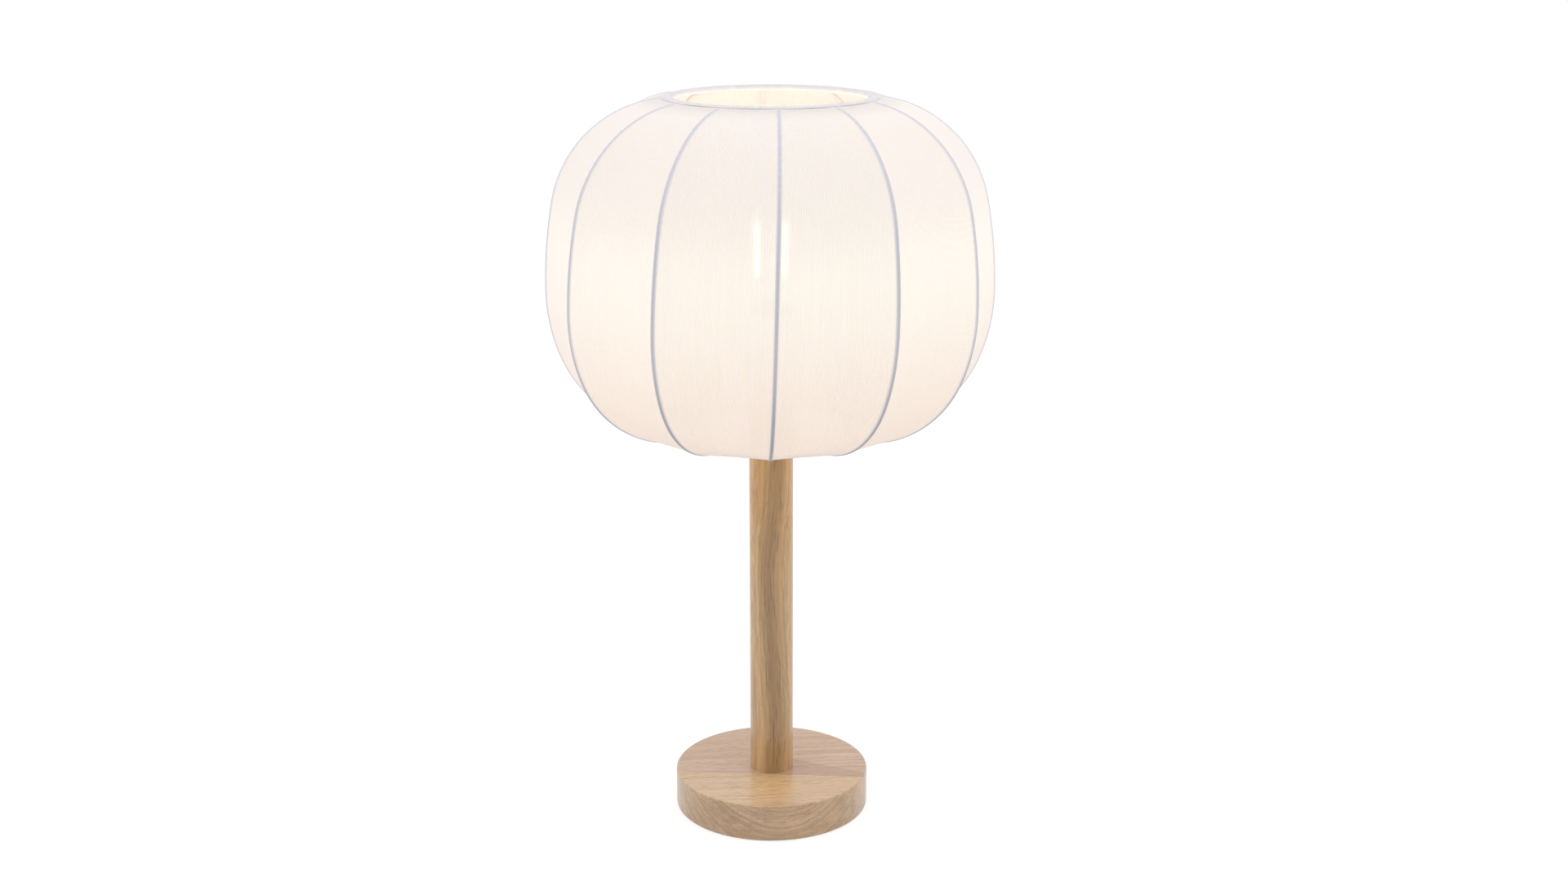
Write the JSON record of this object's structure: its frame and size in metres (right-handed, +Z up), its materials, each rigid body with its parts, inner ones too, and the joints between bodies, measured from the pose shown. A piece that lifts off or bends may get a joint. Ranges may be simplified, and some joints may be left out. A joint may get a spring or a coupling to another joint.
{
  "type": "pleated table lamp",
  "caption": "Table lamp with a round wooden base and post and a wide lantern shade of pleated white fabric over curved wire ribs, open above and below.",
  "frame": {"origin": "centre of the underside of the base, on the table", "axes": "+Z up along the post; the front, as pictured, faces -Y and the cable inlet +Y"},
  "size_m": [0.2998, 0.2998, 0.5],
  "materials": {
    "base_wood": "oiled rubberwood staves, satin",
    "post_wood": "oiled rubberwood dowel, satin",
    "felt": "pressed wool felt",
    "ballast_steel": "plain, bare",
    "zinc_steel": "zinc plated",
    "brass": "turned, bare",
    "black_plastic": "moulded nylon",
    "block_plastic": "moulded nylon",
    "core_insulation": "extruded insulation",
    "holder_plastic": "moulded, satin",
    "insert_ceramic": "unglazed",
    "frame_wire": "white powder coat",
    "shade_fabric": "finely pleated cloth",
    "tape_fabric": "wrapped tape",
    "hem_fabric": "doubled cloth",
    "bulb_glass": "clear, blown",
    "stem_glass": "clear, pressed",
    "insulator_glass": "black fired glass",
    "bulb_metal": "nickel plated",
    "filament": "coated light filament"
  },
  "bodies": {
    "stand": {"base_disc": "base_wood", "ballast_ring": "ballast_steel", "ballast_screws": "zinc_steel", "base_pad": "felt", "cable_bushing": "black_plastic", "terminal_block": "block_plastic", "block_terminals": "brass", "rod_washer": "zinc_steel", "lock_washer": "zinc_steel", "rod_nut": "zinc_steel", "threaded_tube": "zinc_steel", "post": "post_wood", "post_washer": "brass", "inner_lead": "core_insulation", "holder_cap": "holder_plastic", "grub_screw": "zinc_steel", "holder_terminals": "brass", "holder_insert": "insert_ceramic", "centre_contact": "brass", "screw_shell": "brass", "holder_skirt": "holder_plastic"},
    "clamp_ring": {"shade_clamp_ring": "holder_plastic"},
    "bulb": {"bulb_glass": "bulb_glass", "bulb_cap": "bulb_metal", "bulb_insulator": "insulator_glass", "bulb_contact": "bulb_metal", "bulb_stem": "stem_glass", "bulb_filaments": "filament", "bulb_leads": "bulb_metal"},
    "shade": {"fitter_ring": "frame_wire", "fitter_arms": "frame_wire", "top_ring": "frame_wire", "bottom_ring": "frame_wire", "top_hem": "hem_fabric", "bottom_hem": "hem_fabric", "rib_tapes": "tape_fabric", "rib_01": "frame_wire", "rib_02": "frame_wire", "rib_03": "frame_wire", "rib_04": "frame_wire", "rib_05": "frame_wire", "rib_06": "frame_wire", "rib_07": "frame_wire", "rib_08": "frame_wire", "rib_09": "frame_wire", "rib_10": "frame_wire", "rib_11": "frame_wire", "rib_12": "frame_wire", "panel_01": "shade_fabric", "panel_02": "shade_fabric", "panel_03": "shade_fabric", "panel_04": "shade_fabric", "panel_05": "shade_fabric", "panel_06": "shade_fabric", "panel_07": "shade_fabric", "panel_08": "shade_fabric", "panel_09": "shade_fabric", "panel_10": "shade_fabric", "panel_11": "shade_fabric", "panel_12": "shade_fabric"}
  },
  "joints": [
    {"name": "shade_turn", "type": "hinge", "parent": "stand", "child": "shade", "pos_m": [0, 0, 0.3351], "axis": [0, 0, 1], "continuous": true},
    {"name": "clamp_ring_unscrew", "type": "slide", "parent": "stand", "child": "clamp_ring", "axis": [0, 0, 1], "range_m": [0, 0.018]},
    {"name": "bulb_unscrew", "type": "slide", "parent": "stand", "child": "bulb", "axis": [0, 0, 1], "range_m": [0, 0.175]}
  ]
}
